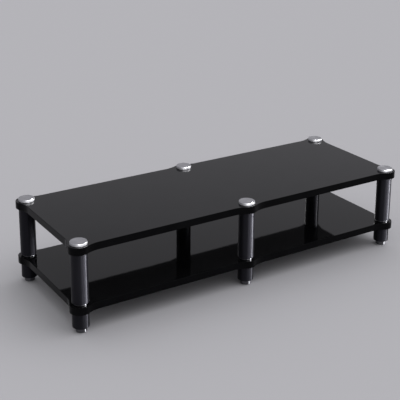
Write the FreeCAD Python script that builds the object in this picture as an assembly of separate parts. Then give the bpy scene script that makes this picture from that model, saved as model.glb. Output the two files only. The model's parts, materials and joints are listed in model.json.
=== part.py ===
import FreeCAD, Part
import math
import os

# A long, low two-shelf media stand, in millimetres.
# Two black lacquered boards are held on six round posts, three along the front and three
# along the back. Each post is a stack that is screwed together on its axis: a levelling
# foot, a leg, the lower board, a black-chromed disc, a column, the upper board and a round cap.
# The origin lies on the floor below the middle of the stand. X runs along the front to the
# right, Y runs from the front to the back, and Z is up.

# Plan of the stand
column_spacing = 800.0          # axis to axis along the front
depth_spacing = 528.0           # axis to axis from front to back
edge_offset = 25.0              # straight board edges, outside the lines of axes
ear_radius = 43.0               # round ear of a board at each post
ear_offset = 3.0                # ear centre, outside the lines of axes
ear_blend_radius = 130.0        # hollow curve from an ear to the straight edge

# Heights, from the floor up
leg_clearance = 22.0            # floor to the lower end of the leg tube
leg_height = 66.0
board_thickness = 32.0
disc_height = 7.0
column_height = 216.0
cap_thickness = 11.0
washer_thickness = 1.0          # soft washer wherever metal meets a board

# Tubes of the legs and columns, and their end plugs
tube_diameter = 70.0
tube_wall = 2.0
tube_end_chamfer = 0.8
plug_thickness = 12.0
plug_recess = 7.0               # plug at the lower end of a leg, inside the tube's end
plug_clearance = 0.05           # radial, plug in tube
plug_chamfer = 0.6

# Boards
board_edge_round = 1.5
board_hole_chamfer = 0.5

# Caps, discs and washers
cap_diameter = 70.0
cap_edge_round = 2.5
cap_foot_chamfer = 0.6
cap_crown = 3.0                 # metal left above the stud's blind hole
disc_diameter = 57.0
disc_edge_round = 1.0
washer_inset = 2.0              # washer rim, inside the rim of the metal on it
washer_bore_clearance = 6.0     # radial, washer bore round the stud

# Studs
stud_diameter = 10.0
thread_clearance = 0.05         # radial, stud in a threaded hole
stud_hole_clearance = 0.5       # radial, stud in a board or disc
stud_end_chamfer = 1.0
stud_end_gap = 1.0              # stud end, short of the far face of a threaded hole

# Levelling feet
foot_diameter = 46.0
foot_height = 23.0              # its top stands a little way inside the leg tube
foot_edge_round = 1.2
foot_floor = 2.5                # metal left between the stud and the pad
foot_stud_reach = 34.0          # stud above the foot
pad_diameter = 38.0
pad_thickness = 2.5
pad_proud = 1.0                 # how far the pad stands below the metal
pad_clearance = 0.1             # radial, pad in its recess
pad_edge_chamfer = 0.3

# Modelling allowances
overrun = 1.0                   # how far a cutting shape passes the faces that it cuts
same_place = 0.0001             # places closer than this are one place

# Radii and heights that follow from the sizes above
tube_radius = tube_diameter / 2
tube_bore_radius = tube_radius - tube_wall
plug_radius = tube_bore_radius - plug_clearance
stud_radius = stud_diameter / 2
threaded_hole_radius = stud_radius + thread_clearance
stud_hole_radius = stud_radius + stud_hole_clearance
washer_bore_radius = stud_radius + washer_bore_clearance
cap_radius = cap_diameter / 2
disc_radius = disc_diameter / 2
foot_radius = foot_diameter / 2
pad_radius = pad_diameter / 2

foot_bottom = pad_proud
foot_top = foot_bottom + foot_height
foot_stud_bottom = pad_thickness + foot_floor
foot_stud_top = foot_top + foot_stud_reach
leg_bottom = leg_clearance
leg_top = leg_bottom + leg_height
leg_top_plug_bottom = leg_top - plug_thickness
lower_board_bottom = leg_top + washer_thickness
lower_board_top = lower_board_bottom + board_thickness
disc_bottom = lower_board_top + washer_thickness
disc_top = disc_bottom + disc_height
column_bottom = disc_top
column_bottom_plug_top = column_bottom + plug_thickness
column_top = column_bottom + column_height
column_top_plug_bottom = column_top - plug_thickness
upper_board_bottom = column_top + washer_thickness
upper_board_top = upper_board_bottom + board_thickness
cap_bottom = upper_board_top + washer_thickness
cap_top = cap_bottom + cap_thickness
cap_hole_top = cap_top - cap_crown

# The six posts, each with the point where its axis meets the floor
rows = {"front": -depth_spacing / 2, "back": depth_spacing / 2}
places_across = {"left": -column_spacing, "middle": 0, "right": column_spacing}
posts = {}
for row_name, y in rows.items():
    for across_name, x in places_across.items():
        posts[row_name + "_" + across_name] = FreeCAD.Vector(x, y, 0)

# Outward normals of a board's four straight edges
left_edge = FreeCAD.Vector(-1, 0, 0)
front_edge = FreeCAD.Vector(0, -1, 0)
right_edge = FreeCAD.Vector(1, 0, 0)
back_edge = FreeCAD.Vector(0, 1, 0)

# Posts in the order of a board's outline, with the edge before and the edge after each
outline_order = (
    ("front_left", left_edge, front_edge),
    ("front_middle", front_edge, front_edge),
    ("front_right", front_edge, right_edge),
    ("back_right", right_edge, back_edge),
    ("back_middle", back_edge, back_edge),
    ("back_left", back_edge, left_edge),
)


def unit(vector):
    return vector / vector.Length


def along(normal):
    """Direction in which the outline runs along the edge with this outward normal."""
    return FreeCAD.Vector(-normal.y, normal.x, 0)


def arc_middle(centre, start, end, radius):
    return centre + unit((start - centre) + (end - centre)) * radius


def ear(post, normal_before, normal_after):
    """Outline round one post: a hollow curve, the round ear and a hollow curve, all tangent."""
    outward = normal_before
    if normal_after != normal_before:
        outward = normal_before + normal_after
    ear_centre = post + outward * ear_offset
    reach = ear_radius + ear_blend_radius
    rise = edge_offset + ear_blend_radius - ear_offset
    run = math.sqrt(reach ** 2 - rise ** 2)
    hollow_before = ear_centre + normal_before * rise - along(normal_before) * run
    hollow_after = ear_centre + normal_after * rise + along(normal_after) * run
    edge_end = hollow_before - normal_before * ear_blend_radius
    edge_start = hollow_after - normal_after * ear_blend_radius
    touch_before = ear_centre + unit(hollow_before - ear_centre) * ear_radius
    touch_after = ear_centre + unit(hollow_after - ear_centre) * ear_radius
    ear_tip = ear_centre + unit(outward) * ear_radius
    return (
        (edge_end, arc_middle(hollow_before, edge_end, touch_before, ear_blend_radius), touch_before),
        (touch_before, ear_tip, touch_after),
        (touch_after, arc_middle(hollow_after, touch_after, edge_start, ear_blend_radius), edge_start),
    )


def board_outline():
    """Closed outline of a board on the floor: straight edges, and an ear round each post."""
    ears = [ear(posts[name], before, after) for name, before, after in outline_order]
    edges = []
    last_point = ears[-1][-1][-1]
    for arcs in ears:
        edges.append(Part.LineSegment(last_point, arcs[0][0]).toShape())
        for start, middle, end in arcs:
            edges.append(Part.Arc(start, middle, end).toShape())
        last_point = arcs[-1][-1]
    return Part.Wire(edges)


def lies_at(edge, height):
    box = edge.BoundBox
    at_bottom = math.isclose(box.ZMin, height, abs_tol=same_place)
    at_top = math.isclose(box.ZMax, height, abs_tol=same_place)
    return at_bottom and at_top


def level_edges(shape, height):
    return [edge for edge in shape.Edges if lies_at(edge, height)]


def cylinder(radius, bottom, top):
    return Part.makeCylinder(radius, top - bottom, FreeCAD.Vector(0, 0, bottom))


def cone(bottom_radius, top_radius, bottom, top):
    return Part.makeCone(bottom_radius, top_radius, top - bottom, FreeCAD.Vector(0, 0, bottom))


def moved_to(post, shape):
    copy = shape.copy()
    copy.translate(post)
    return copy


def board(bottom, top):
    """Lacquered board with rounded rims and a hole for the stud at each post."""
    blank = Part.Face(board_outline()).extrude(FreeCAD.Vector(0, 0, top - bottom))
    blank.translate(FreeCAD.Vector(0, 0, bottom))
    blank = blank.makeFillet(board_edge_round, level_edges(blank, bottom) + level_edges(blank, top))
    mouth_radius = stud_hole_radius + board_hole_chamfer
    hole = cylinder(stud_hole_radius, bottom - overrun, top + overrun)
    lower_mouth = cone(mouth_radius, stud_hole_radius, bottom, bottom + board_hole_chamfer)
    upper_mouth = cone(stud_hole_radius, mouth_radius, top - board_hole_chamfer, top)
    for post in posts.values():
        for cutter in (hole, lower_mouth, upper_mouth):
            blank = blank.cut(moved_to(post, cutter))
    return blank


def tube(bottom, top):
    """Steel tube of a leg or a column, with a small chamfer round each end."""
    body = cylinder(tube_radius, bottom, top)
    body = body.makeChamfer(tube_end_chamfer, level_edges(body, bottom) + level_edges(body, top))
    return body.cut(cylinder(tube_bore_radius, bottom - overrun, top + overrun))


def plug(bottom, top):
    """Steel plug for the end of a tube, threaded through on its axis."""
    body = cylinder(plug_radius, bottom, top)
    body = body.makeChamfer(plug_chamfer, level_edges(body, bottom) + level_edges(body, top))
    return body.cut(cylinder(threaded_hole_radius, bottom - overrun, top + overrun))


def stud(bottom, top):
    """Threaded stud at its thread's outer diameter, with chamfered ends."""
    body = cylinder(stud_radius, bottom, top)
    return body.makeChamfer(stud_end_chamfer, level_edges(body, bottom) + level_edges(body, top))


def washer(rim_radius, bottom):
    """Thin soft washer that keeps the metal off the lacquer."""
    top = bottom + washer_thickness
    return cylinder(rim_radius, bottom, top).cut(
        cylinder(washer_bore_radius, bottom - overrun, top + overrun))


def cap():
    """Aluminium cap with a rounded rim and a blind threaded hole underneath."""
    body = cylinder(cap_radius, cap_bottom, cap_top)
    body = body.makeChamfer(cap_foot_chamfer, level_edges(body, cap_bottom))
    body = body.makeFillet(cap_edge_round, level_edges(body, cap_top))
    return body.cut(cylinder(threaded_hole_radius, cap_bottom - overrun, cap_hole_top))


def column_disc():
    """Black-chromed disc that a column stands on, a little narrower than the column."""
    body = cylinder(disc_radius, disc_bottom, disc_top)
    rims = level_edges(body, disc_bottom) + level_edges(body, disc_top)
    body = body.makeFillet(disc_edge_round, rims)
    return body.cut(cylinder(stud_hole_radius, disc_bottom - overrun, disc_top + overrun))


def foot():
    """Black-chromed foot with a hole for its stud and a recess for its pad."""
    body = cylinder(foot_radius, foot_bottom, foot_top)
    rims = level_edges(body, foot_bottom) + level_edges(body, foot_top)
    body = body.makeFillet(foot_edge_round, rims)
    body = body.cut(cylinder(pad_radius + pad_clearance, foot_bottom - overrun, pad_thickness))
    return body.cut(cylinder(threaded_hole_radius, foot_stud_bottom, foot_top + overrun))


def foot_pad():
    """Rubber pad that stands on the floor."""
    body = cylinder(pad_radius, 0, pad_thickness)
    return body.makeChamfer(pad_edge_chamfer, level_edges(body, 0))


def write(name, shape):
    shape.exportStep("parts/" + name + ".step")
    print(name, "solids", len(shape.Solids), "volume", round(shape.Volume), "mm3")


os.makedirs("parts", exist_ok=True)

write("lower_shelf", board(lower_board_bottom, lower_board_top))
write("upper_shelf", board(upper_board_bottom, upper_board_top))

# Pieces that are named post by post
pieces_of_a_post = {
    "cap": cap(),
    "column": tube(column_bottom, column_top),
    "column_disc": column_disc(),
    "leg": tube(leg_bottom, leg_top),
    "foot": foot(),
    "foot_stud": stud(foot_stud_bottom, foot_stud_top),
    "foot_pad": foot_pad(),
}
for piece_name, piece in pieces_of_a_post.items():
    for post_name, post in posts.items():
        write(piece_name + "_" + post_name, moved_to(post, piece))

# Hidden hardware, in groups of six like pieces
leg_plug_bottom = leg_bottom + plug_recess
hardware = {
    "cap_studs": stud(column_top_plug_bottom + stud_end_gap, cap_hole_top - stud_end_gap),
    "joining_studs": stud(leg_top_plug_bottom + stud_end_gap, column_bottom_plug_top - stud_end_gap),
    "column_top_plugs": plug(column_top_plug_bottom, column_top),
    "column_bottom_plugs": plug(column_bottom, column_bottom_plug_top),
    "leg_top_plugs": plug(leg_top_plug_bottom, leg_top),
    "leg_bottom_plugs": plug(leg_plug_bottom, leg_plug_bottom + plug_thickness),
    "cap_washers": washer(cap_radius - washer_inset, upper_board_top),
    "column_top_washers": washer(tube_radius - washer_inset, column_top),
    "disc_washers": washer(disc_radius - washer_inset, lower_board_top),
    "leg_top_washers": washer(tube_radius - washer_inset, leg_top),
}
for group_name, piece in hardware.items():
    write(group_name, Part.makeCompound([moved_to(post, piece) for post in posts.values()]))

print("overall height", cap_top)
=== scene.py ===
# %% [markdown]
# A media stand: two black piano-lacquered boards on six round posts. This lesson dresses the
# bare model of the stand. The pieces that show are drawn again as fine, smooth meshes exactly
# where the bare ones are, and every piece gets a finish: mirror lacquer, gloss-black tube,
# satin aluminium, black chrome, zinc and rubber. All lengths are in metres.

import json
import math

import bpy
from mathutils import Matrix, Vector

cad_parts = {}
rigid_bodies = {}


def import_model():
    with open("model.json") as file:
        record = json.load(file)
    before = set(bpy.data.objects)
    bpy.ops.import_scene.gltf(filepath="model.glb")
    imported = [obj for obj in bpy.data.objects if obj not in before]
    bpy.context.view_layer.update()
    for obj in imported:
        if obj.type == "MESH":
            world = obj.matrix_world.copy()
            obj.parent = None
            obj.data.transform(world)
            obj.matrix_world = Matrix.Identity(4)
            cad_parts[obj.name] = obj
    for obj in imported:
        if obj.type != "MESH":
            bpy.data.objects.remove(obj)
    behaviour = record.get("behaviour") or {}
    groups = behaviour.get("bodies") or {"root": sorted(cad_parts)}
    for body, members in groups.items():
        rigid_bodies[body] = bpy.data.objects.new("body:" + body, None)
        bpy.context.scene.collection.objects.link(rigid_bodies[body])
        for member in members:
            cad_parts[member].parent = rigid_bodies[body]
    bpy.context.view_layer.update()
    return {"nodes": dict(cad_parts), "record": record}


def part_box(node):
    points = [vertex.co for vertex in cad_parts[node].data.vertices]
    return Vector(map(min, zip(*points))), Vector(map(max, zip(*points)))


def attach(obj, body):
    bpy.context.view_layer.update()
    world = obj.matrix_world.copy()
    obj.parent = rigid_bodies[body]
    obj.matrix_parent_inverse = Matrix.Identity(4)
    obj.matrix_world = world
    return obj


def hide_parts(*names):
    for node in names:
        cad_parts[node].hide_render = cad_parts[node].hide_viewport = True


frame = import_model()

# %% [markdown]
# Every post stands on its own axis. The places are read from the pieces themselves: the middle
# of a cap is the axis of its post.

# %% Find the posts
mm = 0.001
posts = {}
for row in ("front", "back"):
    for place in ("left", "middle", "right"):
        low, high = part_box(f"cap_{row}_{place}")
        middle = (low + high) / 2
        posts[f"{row}_{place}"] = Vector((middle.x, middle.y, 0))
print("posts:", {name: tuple(round(v, 3) for v in axis[:2]) for name, axis in posts.items()})


# %% [markdown]
# The round pieces are measured too, so that nothing drawn here can drift away from the bare
# model: a piece's radius is half its width, and its heights are those of its underside and top.

# %% Measure round pieces
def radius_of(node):
    """Half the width of a round piece."""
    low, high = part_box(node)
    return (high.x - low.x) / 2


def heights_of(node):
    """The heights of a piece's underside and top."""
    low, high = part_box(node)
    return low.z, high.z


print("a column has a radius of", round(radius_of("column_front_left") / mm, 1), "mm")


# %% [markdown]
# The camera stands in front of the stand and well to its left, a little above the eye height of
# someone who stands, and looks down at it. Its place and turn were found by fitting the six caps,
# the feet and the board edges of the photograph. The picture is the lower part of a larger one, so
# the lens is shifted down as well as tilted, and the less tilt keeps the posts nearly upright.

# %% Set up the camera
def new_object(name, data):
    """An object that holds this data, linked into the scene."""
    made = bpy.data.objects.new(name, data)
    bpy.context.scene.collection.objects.link(made)
    return made


picture_width = 400
camera_place = Vector((-2.229, -3.407, 1.944))
camera_heading = math.radians(32.287)
camera_dip = math.radians(15.987)
camera_roll = math.radians(0.347)
focal_pixels = 953.5
optical_axis_row = 100

camera_data = bpy.data.cameras.new("camera")
camera_data.sensor_width = 36
camera_data.lens = focal_pixels / picture_width * camera_data.sensor_width
camera_data.shift_y = (optical_axis_row - picture_width / 2) / picture_width
camera_data.clip_end = 100
camera = new_object("camera", camera_data)
camera.matrix_world = (
    Matrix.Translation(camera_place)
    @ Matrix.Rotation(-camera_heading, 4, "Z")
    @ Matrix.Rotation(math.pi / 2 - camera_dip, 4, "X")
    @ Matrix.Rotation(camera_roll, 4, "Z")
)
bpy.context.scene.camera = camera
print("lens:", round(camera_data.lens, 1), "mm, shift:", camera_data.shift_y)


# %% [markdown]
# Nodes are used for three things here: finishes, shapes and the backdrop. One small helper adds a
# node, sets its settings, and fills its sockets with either a value or a link. A second one does
# a sum with a Math node, which all three need.

# %% Helpers for nodes
def add(tree, kind, sockets=None, **settings):
    """Add a node; sockets gives values or other nodes' outputs by socket name or number."""
    node = tree.nodes.new(kind)
    for name, value in settings.items():
        setattr(node, name, value)
    for name, value in (sockets or {}).items():
        if isinstance(value, bpy.types.NodeSocket):
            tree.links.new(value, node.inputs[name])
        else:
            node.inputs[name].default_value = value
    return node


def calculate(tree, operation, *values):
    """The result of a Math node; each value is a number or another node's output."""
    return add(tree, "ShaderNodeMath", dict(enumerate(values)), operation=operation).outputs[0]


# %% [markdown]
# A finish starts with a Principled shader. Its steady numbers are set on the sockets, and only
# what varies over the surface is linked. Patterns read Object coordinates, which are metres on
# this stand, so a noise of scale 500 has details about 2 mm wide.

# %% Start a finish
def new_finish(name, **steady):
    """A material with one Principled shader; returns the material, its tree and the shader."""
    material = bpy.data.materials.new(name)
    material.use_nodes = True
    tree = material.node_tree
    shader = tree.nodes["Principled BSDF"]
    for socket, value in steady.items():
        shader.inputs[socket.replace("_", " ")].default_value = value
    return material, tree, shader


def noise(tree, scale, detail=2.0, roughness=0.5, stretch=None):
    """Noise on Object coordinates; stretch squeezes it along an axis."""
    place = add(tree, "ShaderNodeTexCoord").outputs["Object"]
    if stretch:
        place = add(tree, "ShaderNodeMapping", {"Vector": place, "Scale": stretch}).outputs["Vector"]
    sockets = {"Vector": place, "Scale": scale, "Detail": detail, "Roughness": roughness}
    return add(tree, "ShaderNodeTexNoise", sockets).outputs["Fac"]


# %% [markdown]
# No real surface is the same all over. Three helpers let a noise vary a finish: its colour, its
# roughness, and its relief, which is only a few hundredths of a millimetre deep at most. A
# finished material is kept under the name of the material slot that it belongs to.

# %% Vary a finish
def tint(tree, shader, factor, dark, light, start=0.3, end=0.7):
    """Let the colour go from dark to light while the factor goes from start to end."""
    ramp = add(tree, "ShaderNodeValToRGB", {"Fac": factor})
    first, last = ramp.color_ramp.elements
    first.position, last.position = start, end
    first.color, last.color = (*dark, 1), (*light, 1)
    tree.links.new(ramp.outputs["Color"], shader.inputs["Base Color"])


def in_range(tree, factor, low, high):
    """Map a factor of 0 to 1 to a range of values."""
    sockets = {"Value": factor, "To Min": low, "To Max": high}
    return add(tree, "ShaderNodeMapRange", sockets).outputs["Result"]


def roughen(tree, shader, factor, smooth, coarse):
    """Let the roughness follow a factor."""
    tree.links.new(in_range(tree, factor, smooth, coarse), shader.inputs["Roughness"])


def bump(tree, shader, height, depth):
    """Give the surface a relief of this depth."""
    sockets = {"Height": height, "Distance": depth, "Strength": 1.0}
    tree.links.new(add(tree, "ShaderNodeBump", sockets).outputs["Normal"], shader.inputs["Normal"])


finishes = {}


def keep_finish(slot, material):
    """Keep a material for all pieces of a material slot."""
    finishes[slot] = material
    print("finish of", slot + ":", material.name, "with", len(material.node_tree.nodes), "nodes")


# %% [markdown]
# Piano lacquer is black polyester, sprayed thick and polished to a mirror. Two things tell it
# from a plain black: a very shallow, wide waviness left by spraying, which makes reflections
# swim a little, and a faint haze from polishing and dust, seen as patches of higher roughness.
# Its index of refraction is set a little lower than that of real lacquer, because the pale
# surroundings would show too strongly in the faces. The narrow edges are the same lacquer with a
# weaker shine. On the real stand they look black, and with the full shine they would mirror the
# pale surroundings and come out grey.

# %% Piano lacquer
full_shine = 0.5
edge_shine = 0.1


def piano_lacquer(name, shine):
    material, tree, shader = new_finish(name, IOR=1.3, Specular_IOR_Level=shine)
    cloud = noise(tree, scale=9, detail=4, roughness=0.6)
    haze = noise(tree, scale=60, detail=6, roughness=0.7)
    waviness = noise(tree, scale=38, detail=1)
    tint(tree, shader, cloud, dark=(0.002, 0.002, 0.0024), light=(0.004, 0.004, 0.0046))
    roughen(tree, shader, haze, smooth=0.015, coarse=0.075)
    bump(tree, shader, waviness, depth=0.03 * mm)
    return material


keep_finish("lacquered_board", piano_lacquer("piano_lacquer", full_shine))
edge_lacquer = piano_lacquer("edge_lacquer", edge_shine)

# %% [markdown]
# Many pieces were turned or ground round their axis. That leaves fine rings, and light is
# stretched across them. The stretch follows the piece's UV map, whose U runs round the axis, and
# a quarter turn of it points along the piece. The rings themselves follow a stored attribute, the
# distance from the piece's own axis.

# %% Marks of the lathe
quarter_turn = 0.25


def round_grain(tree, shader):
    """Stretch highlights across the rings that turning leaves."""
    tangent = add(tree, "ShaderNodeTangent", direction_type="UV_MAP", uv_map="round")
    tree.links.new(tangent.outputs["Tangent"], shader.inputs["Tangent"])


def distance_from_axis(tree):
    """The attribute that the lathe stores on every turned piece."""
    return add(tree, "ShaderNodeAttribute", attribute_name="from_axis").outputs["Fac"]


def rings(tree, pitch):
    """Turning marks: a wave along the distance from the piece's own axis."""
    phase = calculate(tree, "MULTIPLY", distance_from_axis(tree), 2 * math.pi / pitch)
    wave = calculate(tree, "SINE", phase)
    return add(tree, "ShaderNodeMapRange", {"Value": wave, "From Min": -1.0}).outputs["Result"]


# %% [markdown]
# The legs and columns are steel tube in satin-gloss black. The tube was ground round before it
# was sprayed, and the thin coat follows the marks: a lamp shows as one upright streak over the
# whole height of a post, which is what tells these posts from the mirror-like boards. The sheen
# is slightly cool, so the specular tint holds back a little red and green.

# %% Black tube
cool_sheen = (0.84, 0.83, 1, 1)


def black_tube():
    material, tree, shader = new_finish(
        "black_tube", IOR=1.32, Specular_Tint=cool_sheen,
        Anisotropic=1.0, Anisotropic_Rotation=quarter_turn)
    cloud = noise(tree, scale=14, detail=3, stretch=(1, 1, 0.25))
    tint(tree, shader, cloud, dark=(0.002, 0.002, 0.0026), light=(0.005, 0.005, 0.006))
    roughen(tree, shader, cloud, smooth=0.4, coarse=0.46)
    round_grain(tree, shader)
    bump(tree, shader, noise(tree, scale=420), depth=0.006 * mm)
    return material


keep_finish("black_tube", black_tube())

# %% [markdown]
# The caps are turned from aluminium. A face is cut with a fine feed and comes out nearly even,
# while the round side keeps coarser marks, which spread light upwards and make the rim shine. So
# the roughness follows the distance from the axis, which is largest on the side. Less stretch
# than on the tubes keeps the light on a face from fanning out into two wedges.

# %% Satin aluminium
face_roughness = 0.16
side_roughness = 0.58
side_begins = 0.7 * mm
side_reached = 0.1 * mm
ring_pitch = 0.45 * mm
most_unevenness = 0.04


def satin_aluminium(side_radius):
    """Turned aluminium; side_radius is the radius of the piece's round side."""
    material, tree, shader = new_finish(
        "satin_aluminium", Metallic=1.0, Anisotropic=0.5, Anisotropic_Rotation=quarter_turn)
    cloud = noise(tree, scale=45, detail=3)
    tint(tree, shader, cloud, dark=(0.42, 0.42, 0.44), light=(0.5, 0.5, 0.52), start=0.25, end=0.75)
    feed = add(tree, "ShaderNodeMapRange", {
        "Value": distance_from_axis(tree),
        "From Min": side_radius - side_begins, "From Max": side_radius - side_reached,
        "To Min": face_roughness, "To Max": side_roughness}).outputs["Result"]
    unevenness = in_range(tree, noise(tree, scale=160), 0.0, most_unevenness)
    tree.links.new(calculate(tree, "ADD", feed, unevenness), shader.inputs["Roughness"])
    round_grain(tree, shader)
    bump(tree, shader, rings(tree, ring_pitch), depth=0.004 * mm)
    return material


keep_finish("satin_aluminium", satin_aluminium(radius_of("cap_front_left")))


# %% [markdown]
# The discs and feet are black chrome, a thin dark metal plated over ground steel. In shade they
# look as black as the posts, but a lamp draws a bright line on them. A metal shader with a dark
# colour does just that, while black paint reflects too little to give such a line.

# %% Black chrome
def black_chrome():
    material, tree, shader = new_finish(
        "black_chrome", Metallic=1.0, Anisotropic=1.0, Anisotropic_Rotation=quarter_turn)
    cloud = noise(tree, scale=120, detail=3)
    tint(tree, shader, cloud, dark=(0.1, 0.1, 0.108), light=(0.14, 0.14, 0.15))
    roughen(tree, shader, noise(tree, scale=300), smooth=0.28, coarse=0.34)
    round_grain(tree, shader)
    bump(tree, shader, noise(tree, scale=200), depth=0.004 * mm)
    return material


keep_finish("black_chrome", black_chrome())


# %% [markdown]
# Zinc plate is the finish of the studs and plugs: a pale metal with a mottled gloss. One noise
# drives colour, roughness and relief, because on real plate all three change together.

# %% Zinc plate
def zinc_plate():
    material, tree, shader = new_finish("zinc_plate", Metallic=1.0)
    mottle = noise(tree, scale=350, detail=4, roughness=0.7)
    tint(tree, shader, mottle, dark=(0.46, 0.47, 0.46), light=(0.66, 0.67, 0.64))
    roughen(tree, shader, mottle, smooth=0.22, coarse=0.42)
    bump(tree, shader, mottle, depth=0.01 * mm)
    return material


keep_finish("zinc_plated_steel", zinc_plate())


# %% [markdown]
# Rubber is the finish of the pads under the feet and of the soft washers that keep metal off the
# lacquer: nearly black, matt, with a moulded grain. The two differ only in how dark they are.

# %% Rubber
def rubber(name, dark, light):
    material, tree, shader = new_finish(name, Specular_IOR_Level=0.35)
    wear = noise(tree, scale=70, detail=4)
    tint(tree, shader, wear, dark, light)
    roughen(tree, shader, wear, smooth=0.6, coarse=0.85)
    bump(tree, shader, noise(tree, scale=1400, detail=3), depth=0.04 * mm)
    return material


washer_rubber = rubber("washer_rubber", dark=(0.012, 0.012, 0.012), light=(0.022, 0.022, 0.021))
foot_rubber = rubber("foot_rubber", dark=(0.016, 0.016, 0.016), light=(0.034, 0.033, 0.032))
keep_finish("soft_washer", washer_rubber)
keep_finish("foot_rubber", foot_rubber)


# %% [markdown]
# Shapes that follow a rule are made by Geometry Nodes. A tree gets named inputs for its sizes. A
# host object with an empty mesh runs it once, and the result is kept as a plain mesh, so that
# nothing in the scene stays live.

# %% Helpers for geometry trees
def new_geometry_tree(name, inputs):
    """An empty tree with named inputs; returns the tree and its input sockets by name."""
    tree = bpy.data.node_groups.new(name, "GeometryNodeTree")
    tree.interface.new_socket("Geometry", in_out="OUTPUT", socket_type="NodeSocketGeometry")
    for label, kind in inputs.items():
        tree.interface.new_socket(label, in_out="INPUT", socket_type="NodeSocket" + kind)
    entry = tree.nodes.new("NodeGroupInput")
    return tree, {label: entry.outputs[label] for label in inputs}


def finish_tree(tree, geometry, material):
    """End a tree: realize what is instanced, set the material and put the result out."""
    real = add(tree, "GeometryNodeRealizeInstances", {"Geometry": geometry}).outputs["Geometry"]
    painted = add(tree, "GeometryNodeSetMaterial", {"Geometry": real, "Material": material})
    add(tree, "NodeGroupOutput", {"Geometry": painted.outputs["Geometry"]})


def run_tree(name, tree, values):
    """Run a tree with these inputs and return its result as a plain object in the scene."""
    host = new_object(name + "_host", bpy.data.meshes.new(name + "_host"))
    modifier = host.modifiers.new(tree.name, "NODES")
    modifier.node_group = tree
    for item in tree.interface.items_tree:
        if item.in_out == "INPUT":
            modifier[item.identifier] = values[item.name]
    graph = bpy.context.evaluated_depsgraph_get()
    mesh = bpy.data.meshes.new_from_object(host.evaluated_get(graph), depsgraph=graph)
    mesh.name = name
    bpy.data.objects.remove(host)
    return new_object(name, mesh)


# %% [markdown]
# A few steps come back in the trees: taking in a drawn curve, moving or mirroring a shape,
# sweeping an outline along a path, and welding the seams of the result before it is shaded
# smooth.

# %% Steps that the trees share
def curve_of(tree, drawn):
    """The curve of an object that was drawn beforehand."""
    return add(tree, "GeometryNodeObjectInfo", {"Object": drawn}).outputs["Geometry"]


def circle_of(tree, sides):
    """A circle of radius 1, with this many sides."""
    sockets = {"Resolution": sides, "Radius": 1.0}
    return add(tree, "GeometryNodeCurvePrimitiveCircle", sockets).outputs["Curve"]


def transform(tree, geometry, move=(0, 0, 0), stretch=(1, 1, 1)):
    """Move a shape, or stretch or mirror it."""
    sockets = {"Geometry": geometry, "Translation": move, "Scale": stretch}
    return add(tree, "GeometryNodeTransform", sockets).outputs["Geometry"]


def upwards(tree, height):
    """A vector that points straight up by this height."""
    return add(tree, "ShaderNodeCombineXYZ", {"Z": height}).outputs["Vector"]


def sweep(tree, path, outline, more=None):
    """Sweep an outline along a path; more fills further sockets of the node."""
    sockets = {"Curve": path, "Profile Curve": outline, **(more or {})}
    return add(tree, "GeometryNodeCurveToMesh", sockets).outputs["Mesh"]


def weld_and_smooth(tree, geometry, reach):
    """Merge the points that lie within reach of each other, and shade the faces smooth."""
    sockets = {"Geometry": geometry, "Distance": reach}
    welded = add(tree, "GeometryNodeMergeByDistance", sockets).outputs["Geometry"]
    return add(tree, "GeometryNodeSetShadeSmooth", {"Geometry": welded}).outputs["Geometry"]


# %% [markdown]
# A finish can read what a tree stores on its mesh. Round pieces store two things: a UV map, with
# the turn round the axis as U and the way along the outline as V, and each point's distance from
# the axis. The UV map's values are noted on the curves, before the sweep makes a mesh of them.

# %% What the lathe keeps
def capture(tree, geometry, label, value):
    """Note a value on a curve's points; returns the curve and the noted value."""
    node = add(tree, "GeometryNodeCaptureAttribute", {"Geometry": geometry})
    node.capture_items.new("FLOAT", label)
    tree.links.new(value, node.inputs[label])
    return node.outputs["Geometry"], node.outputs[label]


def store(tree, geometry, label, value, data_type, domain):
    """Store a value on a mesh under a name that a finish can read."""
    sockets = {"Geometry": geometry, "Name": label, "Value": value}
    node = add(tree, "GeometryNodeStoreNamedAttribute", sockets, data_type=data_type, domain=domain)
    return node.outputs["Geometry"]


def distance_in_plan(tree):
    """How far a point lies from the vertical axis through the origin."""
    place = add(tree, "GeometryNodeInputPosition").outputs["Position"]
    flat = add(tree, "ShaderNodeVectorMath", {0: place, 1: (1, 1, 0)}, operation="MULTIPLY").outputs[0]
    return add(tree, "ShaderNodeVectorMath", {0: flat}, operation="LENGTH").outputs["Value"]


# %% [markdown]
# Most pieces of the stand were made on a lathe, and a lathe is a rule: one outline, turned round
# an axis. So one tree makes them all. It takes an outline curve, which is drawn with X as the
# distance from the axis and Y as the height, and sweeps it along a full circle of radius 1. Each
# swept point then lies 1 m too far out, and the outline is shifted inwards by the same amount
# beforehand, so that it lands exactly on its radius.

# %% The lathe
lathe_weld = 0.001 * mm


def lathe_tree():
    tree, given = new_geometry_tree("lathe", {
        "Outline": "Object", "Axis": "Vector", "Steps Round": "Int", "Material": "Material"})
    on_curve = add(tree, "GeometryNodeSplineParameter")
    inward = transform(tree, curve_of(tree, given["Outline"]), move=(-1, 0, 0), stretch=(1, -1, 1))
    outline, along = capture(tree, inward, "Along", on_curve.outputs["Length"])
    circle = circle_of(tree, given["Steps Round"])
    path, turn = capture(tree, circle, "Turn", on_curve.outputs["Factor"])
    swept = sweep(tree, path, outline)
    uv = add(tree, "ShaderNodeCombineXYZ", {"X": turn, "Y": along}).outputs["Vector"]
    mapped = store(tree, swept, "round", uv, "FLOAT2", "CORNER")
    measured = store(tree, mapped, "from_axis", distance_in_plan(tree), "FLOAT", "POINT")
    smooth = weld_and_smooth(tree, measured, lathe_weld)
    finish_tree(tree, transform(tree, smooth, move=given["Axis"]), given["Material"])
    return tree


lathe = lathe_tree()
print("lathe tree:", len(lathe.nodes), "nodes")

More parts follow.
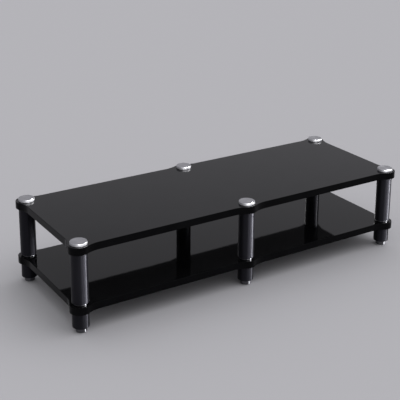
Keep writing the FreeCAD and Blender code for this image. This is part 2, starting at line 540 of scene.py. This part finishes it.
# %% [markdown]
# The lathe's outline is a polyline drawn from the axis, or from the bore, round the outside and
# back. A sharp machined corner always has a small rounding, and that is what catches the light,
# so every corner gets an arc. Just beside each arc lies one more point: it keeps the smooth
# shading of the arc from leaking over the flat beside it.

# %% Rounded outlines
arc_steps = 6
guard = 0.12 * mm


def rounded_corner(before, corner, after, rounding):
    """Points that replace a sharp corner: a guard point, an arc and a guard point."""
    to_before = (before - corner).normalized()
    to_after = (after - corner).normalized()
    half_angle = to_before.angle(to_after) / 2
    reach = rounding / math.tan(half_angle)
    centre = corner + (to_before + to_after).normalized() * (rounding / math.sin(half_angle))
    first = corner + to_before * reach
    last = corner + to_after * reach
    arc = []
    for step in range(arc_steps + 1):
        direction = (first - centre).slerp(last - centre, step / arc_steps).normalized()
        arc.append(centre + direction * rounding)
    return [first + to_before * guard] + arc + [last + to_after * guard]


def polyline(name, places, closed, radii=None):
    """A curve object through these places; radii puts a radius on each of its points."""
    curve = bpy.data.curves.new(name, "CURVE")
    curve.dimensions = "3D"
    spline = curve.splines.new("POLY")
    spline.points.add(len(places) - 1)
    for number, place in enumerate(places):
        spline.points[number].co = (*place, 1)
        if radii:
            spline.points[number].radius = radii[number]
    spline.use_cyclic_u = closed
    return new_object(name, curve)


def outline_curve(name, corners, closed):
    """An outline; corners gives (distance from axis, height, rounding) for each corner."""
    places = [Vector((distance, height, 0)) for distance, height, rounding in corners]
    points = []
    for number, place in enumerate(places):
        rounding = corners[number][2]
        before, after = places[number - 1], places[(number + 1) % len(places)]
        points += rounded_corner(before, place, after, rounding) if rounding else [place]
    return polyline(name, points, closed)


# %% [markdown]
# Two kinds of outline are enough. A solid piece runs from the axis at its top round to the axis
# below. A tube has a bore and runs round its wall; its wall of 2 mm shows only at the lower end
# of a leg. The radius and the heights come from the bare piece that is replaced, so each drawn
# piece fits without adjusting.

# %% Outlines of the posts' pieces
tube_wall = 2 * mm
tube_rounding = 0.8 * mm
bore_rounding = 0.3 * mm
roundings = {
    "cap": (0.6 * mm, 2.5 * mm),
    "column_disc": (1.0 * mm, 1.0 * mm),
    "foot": (1.2 * mm, 1.2 * mm),
    "foot_pad": (0.5 * mm, 0.1 * mm),
}


def solid_outline(kind, radius, bottom, top):
    """Outline of a solid piece, with the lower and the upper rounding of its kind."""
    lower_rounding, upper_rounding = roundings[kind]
    corners = [
        (0, top, 0),
        (radius, top, upper_rounding),
        (radius, bottom, lower_rounding),
        (0, bottom, 0),
    ]
    return outline_curve(kind + "_outline", corners, closed=False)


def tube_outline(kind, radius, bottom, top):
    """Outline of a tube: outside, lower end, bore and upper end."""
    bore = radius - tube_wall
    corners = [
        (radius, top, tube_rounding),
        (radius, bottom, tube_rounding),
        (bore, bottom, bore_rounding),
        (bore, top, bore_rounding),
    ]
    return outline_curve(kind + "_outline", corners, closed=True)


# %% [markdown]
# Now the six posts. Each kind of piece has one outline, drawn once and turned at every post. A
# finished piece then stands for its bare one: it takes over the finish of its material slot and
# the body that it moves with, so the feet still screw in and out.

# %% Turn the pieces of the posts
steps_round = 128
slot_of = {part["node"]: part["material_slot"] for part in frame["record"]["subparts"]}
bodies = frame["record"]["behaviour"]["bodies"]


def dress(piece, node):
    """Let a finished piece stand for a bare one, on its body and with its material slot."""
    piece.data.materials.clear()
    piece.data.materials.append(finishes[slot_of[node]])
    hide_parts(node)
    body = next(name for name, members in bodies.items() if node in members)
    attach(piece, body)


for kind in ("cap", "column", "column_disc", "leg", "foot", "foot_pad"):
    sample = kind + "_front_left"
    draw = solid_outline if kind in roundings else tube_outline
    outline = draw(kind, radius_of(sample), *heights_of(sample))
    for post, axis in posts.items():
        node = f"{kind}_{post}"
        piece = run_tree(node + "_turned", lathe, {
            "Outline": outline, "Axis": axis, "Steps Round": steps_round,
            "Material": finishes[slot_of[node]]})
        dress(piece, node)
    print(kind, "turned:", len(posts), "pieces of", len(piece.data.polygons), "faces")
    bpy.data.objects.remove(outline)

# %% [markdown]
# A foot's stud shows when the foot is turned out, so it gets a thread: a core with a ridge wound
# round it. The ridge is a Spiral curve, one turn for each pitch, with a small square swept along
# it. The inner half of the square lies in the core, and what shows is a pointed ridge. Where it
# starts and ends it fades away, as a cut thread does.

# %% The thread's ridge
steps_per_turn = 32
ridge_sides = 4
half_way = 0.5
fade_length = 0.03
faded_size = 0.05


def ridge(tree, given, root, run):
    """The ridge alone, wound round the core's radius over a run, with its middle at height 0."""
    turns = calculate(tree, "DIVIDE", run, given["Pitch"])
    helix = add(tree, "GeometryNodeCurveSpiral", {
        "Resolution": steps_per_turn, "Rotations": turns, "Start Radius": root, "End Radius": root,
        "Height": run}).outputs["Curve"]
    along = add(tree, "GeometryNodeSplineParameter").outputs["Factor"]
    from_middle = calculate(tree, "ABSOLUTE", calculate(tree, "SUBTRACT", along, half_way))
    fade = add(tree, "ShaderNodeMapRange", {
        "Value": from_middle, "From Min": half_way - fade_length, "From Max": half_way,
        "To Min": 1.0, "To Max": faded_size}).outputs["Result"]
    size = calculate(tree, "MULTIPLY", fade, given["Thread Depth"])
    swept = sweep(tree, helix, circle_of(tree, ridge_sides), {"Scale": size, "Fill Caps": True})
    return transform(tree, swept, move=upwards(tree, calculate(tree, "MULTIPLY", run, -0.5)))


# %% [markdown]
# The core is a plain cylinder as thick as the thread is at its root. Core and ridge are made
# round height 0 and lifted together to where the stud is.

# %% The thread tree
thread_pitch = 1.5 * mm
thread_depth = 0.75 * mm
core_sides = 48


def thread_tree():
    tree, given = new_geometry_tree("thread", {
        "Crest Radius": "Float", "Thread Depth": "Float", "Pitch": "Float", "Bottom": "Float",
        "Top": "Float", "Axis": "Vector", "Material": "Material"})
    length = calculate(tree, "SUBTRACT", given["Top"], given["Bottom"])
    root = calculate(tree, "SUBTRACT", given["Crest Radius"], given["Thread Depth"])
    core = add(tree, "GeometryNodeMeshCylinder", {"Vertices": core_sides, "Radius": root, "Depth": length})
    wound = ridge(tree, given, root, calculate(tree, "SUBTRACT", length, given["Pitch"]))
    together = add(tree, "GeometryNodeJoinGeometry")
    tree.links.new(core.outputs["Mesh"], together.inputs["Geometry"])
    tree.links.new(wound, together.inputs["Geometry"])
    both_ends = calculate(tree, "ADD", given["Bottom"], given["Top"])
    height = upwards(tree, calculate(tree, "MULTIPLY", both_ends, 0.5))
    place = add(tree, "ShaderNodeVectorMath", {0: given["Axis"], 1: height}, operation="ADD").outputs[0]
    placed = transform(tree, together.outputs["Geometry"], move=place)
    finish_tree(tree, placed, given["Material"])
    return tree


thread = thread_tree()
for post, axis in posts.items():
    node = "foot_stud_" + post
    bottom, top = heights_of(node)
    stud = run_tree(node + "_threaded", thread, {
        "Crest Radius": radius_of(node), "Thread Depth": thread_depth, "Pitch": thread_pitch,
        "Bottom": bottom, "Top": top, "Axis": axis, "Material": finishes[slot_of[node]]})
    dress(stud, node)
print("studs threaded:", len(posts), "pieces of", len(stud.data.polygons), "faces")

# %% [markdown]
# A board follows a rule too: straight edges, and at every post a round ear that flows into them
# through hollow curves. Drawn as a polygon it is only three corners at each post, each with its own
# rounding. A curve point can carry a radius, and the Fillet Curve node reads it, so the polygon
# is drawn with the rounding stored on each corner, a hair smaller than it is, so that arcs which
# touch never overlap. The rim is then swept along the finished outline, and the same outline,
# drawn in by the width of the rim, is filled for the two faces.

# %% The board tree
board_weld = 0.01 * mm


def board_tree():
    tree, given = new_geometry_tree("board", {
        "Outline": "Object", "Rim": "Object", "Rim Width": "Float", "Bottom": "Float",
        "Top": "Float", "Steps": "Int", "Material": "Material"})
    rounding = add(tree, "GeometryNodeInputRadius").outputs["Radius"]
    outline = add(tree, "GeometryNodeFilletCurve", {
        "Curve": curve_of(tree, given["Outline"]), "Count": given["Steps"], "Radius": rounding},
        mode="POLY").outputs["Curve"]
    upright_rim = transform(tree, curve_of(tree, given["Rim"]), stretch=(1, -1, 1))
    side = sweep(tree, outline, upright_rim)
    normal = add(tree, "GeometryNodeInputNormal").outputs["Normal"]
    width = calculate(tree, "MULTIPLY", given["Rim Width"], -1.0)
    inward = add(tree, "ShaderNodeVectorMath", {0: normal, "Scale": width}, operation="SCALE").outputs[0]
    drawn_in = add(tree, "GeometryNodeSetPosition", {"Geometry": outline, "Offset": inward})
    filled = add(tree, "GeometryNodeFillCurve", {"Curve": drawn_in.outputs["Geometry"]}, mode="NGONS")
    face = filled.outputs["Mesh"]
    top = transform(tree, face, move=upwards(tree, given["Top"]))
    underside = transform(tree, face, move=upwards(tree, given["Bottom"]))
    underside = add(tree, "GeometryNodeFlipFaces", {"Mesh": underside}).outputs["Mesh"]
    together = add(tree, "GeometryNodeJoinGeometry")
    for part in (top, underside, side):
        tree.links.new(part, together.inputs["Geometry"])
    smooth = weld_and_smooth(tree, together.outputs["Geometry"], board_weld)
    finish_tree(tree, smooth, given["Material"])
    return tree


board = board_tree()
print("board tree:", len(board.nodes), "nodes")

# %% [markdown]
# The polygon's corners follow from the sizes of the ear. The hollow curve touches the straight
# edge and the ear, and where two arcs touch, both have the same tangent. A corner of the polygon
# lies where two such tangents cross.

# %% Corners of an ear
edge_offset = 25 * mm
ear_radius = 43 * mm
ear_offset = 3 * mm
hollow_radius = 130 * mm
arc_share = 0.998


def tangents_cross(point, direction, other_point, other_direction):
    """Where two lines in the plane cross."""
    gap = other_point - point
    turn = direction.x * other_direction.y - direction.y * other_direction.x
    reach = (gap.x * other_direction.y - gap.y * other_direction.x) / turn
    return point + direction * reach


def ear_corners(post, before, after):
    """Three corners of the board's polygon at a post, each with its rounding."""
    normals = Vector((*before, 0)), Vector((*after, 0))
    outward = normals[0] if before == after else normals[0] + normals[1]
    centre = post + outward * ear_offset
    rise = edge_offset + hollow_radius - ear_offset
    run = math.sqrt((ear_radius + hollow_radius) ** 2 - rise ** 2)
    corners, touches = [], []
    for normal, way in zip(normals, (-1, 1)):
        along = Vector((-normal.y, normal.x, 0)) * way
        hollow_centre = centre + normal * rise + along * run
        edge_point = hollow_centre - normal * hollow_radius
        outwards = (hollow_centre - centre).normalized()
        touch = centre + outwards * ear_radius
        slope = Vector((-outwards.y, outwards.x, 0))
        corners.append((tangents_cross(edge_point, along, touch, slope), hollow_radius))
        touches.append((touch, slope))
    tip = tangents_cross(*touches[0], *touches[1])
    three = (corners[0], (tip, ear_radius), corners[1])
    return [(place, rounding * arc_share) for place, rounding in three]


# %% [markdown]
# The polygon runs round the board from post to post. Each post is listed with the outward
# directions of the edges before and after it; at a middle post both are the same.

# %% Draw the boards' outlines
rim_rounding = 1.5 * mm
rim_width = rim_rounding + guard
left, right, front, back = (-1, 0), (1, 0), (0, -1), (0, 1)
way_round = (
    ("front_left", left, front),
    ("front_middle", front, front),
    ("front_right", front, right),
    ("back_right", right, back),
    ("back_middle", back, back),
    ("back_left", back, left),
)


def board_polygon():
    """The board's polygon as a closed curve, with each corner's rounding as its point's radius."""
    corners = []
    for name, before, after in way_round:
        corners += ear_corners(posts[name], before, after)
    places, rounding_radii = zip(*corners)
    return polyline("board_polygon", places, closed=True, radii=rounding_radii)


def rim_outline(bottom, top):
    """The board's rim seen end on: top edge, side and lower edge, with guard points inside."""
    corners = [
        (-rim_width, top, 0),
        (0, top, rim_rounding),
        (0, bottom, rim_rounding),
        (-rim_width, bottom, 0),
    ]
    return outline_curve("rim_outline", corners, closed=False)


# %% [markdown]
# The two boards share one polygon, and each has a rim of its own height. A face of the mesh that
# doesn't lie flat belongs to the rim, and gets the lacquer with the weaker shine.

# %% Make the boards
steps_in_arc = 40
flat_enough = 0.99

polygon = board_polygon()
for node in ("lower_shelf", "upper_shelf"):
    bottom, top = heights_of(node)
    rim = rim_outline(bottom, top)
    shelf = run_tree(node + "_board", board, {
        "Outline": polygon, "Rim": rim, "Rim Width": rim_width, "Bottom": bottom,
        "Top": top, "Steps": steps_in_arc, "Material": finishes[slot_of[node]]})
    dress(shelf, node)
    shelf.data.materials.append(edge_lacquer)
    for face in shelf.data.polygons:
        face.material_index = 0 if abs(face.normal.z) > flat_enough else 1
    bpy.data.objects.remove(rim)
    print(node, "drawn:", len(shelf.data.polygons), "faces, size", shelf.dimensions[:])
bpy.data.objects.remove(polygon)

# %% [markdown]
# The hidden hardware keeps its bare shapes, which are right as they are: end plugs, joining studs
# and soft washers. Only their finishes change.

# %% Finish the hidden pieces
for name, node in frame["nodes"].items():
    node.data.materials.clear()
    node.data.materials.append(finishes[slot_of[name]])
print("bare pieces finished:", len(frame["nodes"]))

# %% [markdown]
# The stage is a plain pale floor. It is rough and has no shine of its own, so it takes the
# stand's soft shadow and nothing else.

# %% Floor
backdrop_colour = (0.4525, 0.448, 0.475, 1)
floor_reach = 30

floor_corners = [
    (-floor_reach, -floor_reach, 0),
    (floor_reach, -floor_reach, 0),
    (floor_reach, floor_reach, 0),
    (-floor_reach, floor_reach, 0),
]
floor_mesh = bpy.data.meshes.new("floor")
floor_mesh.from_pydata(floor_corners, [], [(0, 1, 2, 3)])
floor = new_object("floor", floor_mesh)
pale_floor = new_finish(
    "pale_floor", Base_Color=backdrop_colour, Roughness=1.0, Specular_IOR_Level=0.0)[0]
floor_mesh.materials.append(pale_floor)
print("floor:", floor.dimensions[:2])

# %% [markdown]
# The light comes from the world: a low, even light from all round. Where the camera or a
# reflection meets the world itself, it shows the colour of the floor instead, so that floor and
# backdrop run into each other.

# %% Even light and backdrop
white = (1, 1, 1, 1)
even_strength = 0.634

world = bpy.data.worlds.new("studio")
bpy.context.scene.world = world
world.use_nodes = True
sky = world.node_tree
sky.nodes.clear()


def background(colour, strength):
    """A plain light of one colour from all round."""
    sockets = {"Color": colour, "Strength": strength}
    return add(sky, "ShaderNodeBackground", sockets).outputs["Background"]


rays = add(sky, "ShaderNodeLightPath").outputs
mirrored = calculate(sky, "MAXIMUM", rays["Is Glossy Ray"], rays["Is Transmission Ray"])
seen = calculate(sky, "MAXIMUM", rays["Is Camera Ray"], mirrored)
either = add(sky, "ShaderNodeMixShader", {
    "Fac": seen, 1: background(white, even_strength), 2: background(backdrop_colour, 1.0)})
print("world: even light of", even_strength)

# %% [markdown]
# A soft glow high on the right is added to it. It lifts the floor to the tone of the backdrop and
# leaves a soft shadow under the stand. It is strongest in one direction and fades smoothly away
# from it, and the camera itself never sees it. Nor do the tops of the boards show it in the
# photograph's view: what they mirror there is the pale backdrop, low behind the stand.

# %% Soft glow
glow_heading = math.radians(-20)
glow_height = math.radians(68)
glow_reach = math.radians(52)
glow_strength = 1.2
glow_direction = (
    math.cos(glow_height) * math.cos(glow_heading),
    math.cos(glow_height) * math.sin(glow_heading),
    math.sin(glow_height),
)

direction = add(sky, "ShaderNodeTexCoord").outputs["Generated"]
nearness = add(sky, "ShaderNodeVectorMath", {0: direction, 1: glow_direction}, operation="DOT_PRODUCT")
glow = add(sky, "ShaderNodeMapRange", {
    "Value": nearness.outputs["Value"], "From Min": math.cos(glow_reach), "From Max": 1.0,
    "To Max": glow_strength}, interpolation_type="SMOOTHSTEP").outputs["Result"]
unseen = calculate(sky, "SUBTRACT", 1.0, rays["Is Camera Ray"])
soft_glow = background(white, calculate(sky, "MULTIPLY", glow, unseen))
studio = add(sky, "ShaderNodeAddShader", {0: either.outputs["Shader"], 1: soft_glow})
add(sky, "ShaderNodeOutputWorld", {"Surface": studio.outputs["Shader"]})
print("world tree:", len(sky.nodes), "nodes")


# %% [markdown]
# The posts need lamps as well, to draw the upright streaks on them, but a board as glossy as a
# mirror would show a lamp as a white patch. So each lamp lights only the pieces it is meant for,
# and the boards never see it. A lamp's place is given by two angles, its heading round the stand
# and its height above the floor.

# %% Helpers for lamps
middle_of_stand = Vector((0, 0, 0.2))
lamp_distance = 6.0


def soft_lamp(name, heading, height, size, watts):
    """A rectangular lamp that looks at the stand; heading and height are in degrees."""
    data = bpy.data.lights.new(name, "AREA")
    data.shape = "RECTANGLE"
    data.size, data.size_y = size
    data.energy = watts
    lamp = new_object(name, data)
    level = lamp_distance * math.cos(math.radians(height))
    lamp.location = (
        level * math.cos(math.radians(heading)),
        level * math.sin(math.radians(heading)),
        lamp_distance * math.sin(math.radians(height)),
    )
    lamp.rotation_euler = (middle_of_stand - lamp.location).to_track_quat("-Z", "Y").to_euler()
    return lamp


def light_only(kind, lamps):
    """Let lamps light only the turned pieces whose names start with this kind."""
    lit = bpy.data.collections.new(f"lit_{kind}s")
    for piece in bpy.context.scene.objects:
        if piece.name.startswith(kind) and piece.name.endswith("_turned"):
            lit.objects.link(piece)
    for lamp in lamps:
        lamp.light_linking.receiver_collection = lit


# %% [markdown]
# The columns have three tall lamps from the right round to the front, each weaker than the last,
# and one behind. The discs share them, because their names start with column too. On the real
# stand the lower board keeps some light from the legs, and their streaks are weaker, so theirs
# are the same lamps at less than half the power. The table gives each lamp's name, heading in
# degrees, width in metres and watts.

# %% Lamps for columns and legs
post_lamp_height = 20
tall = 2.6
strip_heading, strip_width = -29, 0.8
leg_share = 0.42
post_lamps = (
    ("strip", strip_heading, strip_width, 1200),
    ("side", -50, 2.8, 520),
    ("front", -80, 3.6, 260),
    ("back", 64, 2.0, 300),
)
for kind, share in (("column", 1.0), ("leg", leg_share)):
    light_only(kind, [
        soft_lamp(f"{name}_{kind}_lamp", heading, post_lamp_height, (width, tall), watts * share)
        for name, heading, width, watts in post_lamps])

# %% [markdown]
# The plated discs and feet show a lamp as a small spark. Each kind has a narrow lamp of its own
# where the columns' brightest one stands, so that the sparks lie under the streaks.

# %% Lamps for discs and feet
for kind, watts in (("column_disc", 5200), ("foot", 2200)):
    narrow = soft_lamp(kind + "_lamp", strip_heading, post_lamp_height, (strip_width, tall), watts)
    light_only(kind, [narrow])

# %% [markdown]
# The caps' bright rims come from two high lamps, on the right and in front. They stand so high
# that a cap's flat top mirrors them upwards, over the head of someone who looks at the stand.

# %% Lamps for the caps
cap_lamp_height = 46
light_only("cap", [
    soft_lamp("cap_lamp", heading=-2, height=cap_lamp_height, size=(3.0, 2.0), watts=1200),
    soft_lamp("cap_front_lamp", heading=-95, height=cap_lamp_height, size=(4.0, 2.0), watts=900)])
bpy.context.scene.view_settings.view_transform = "Standard"
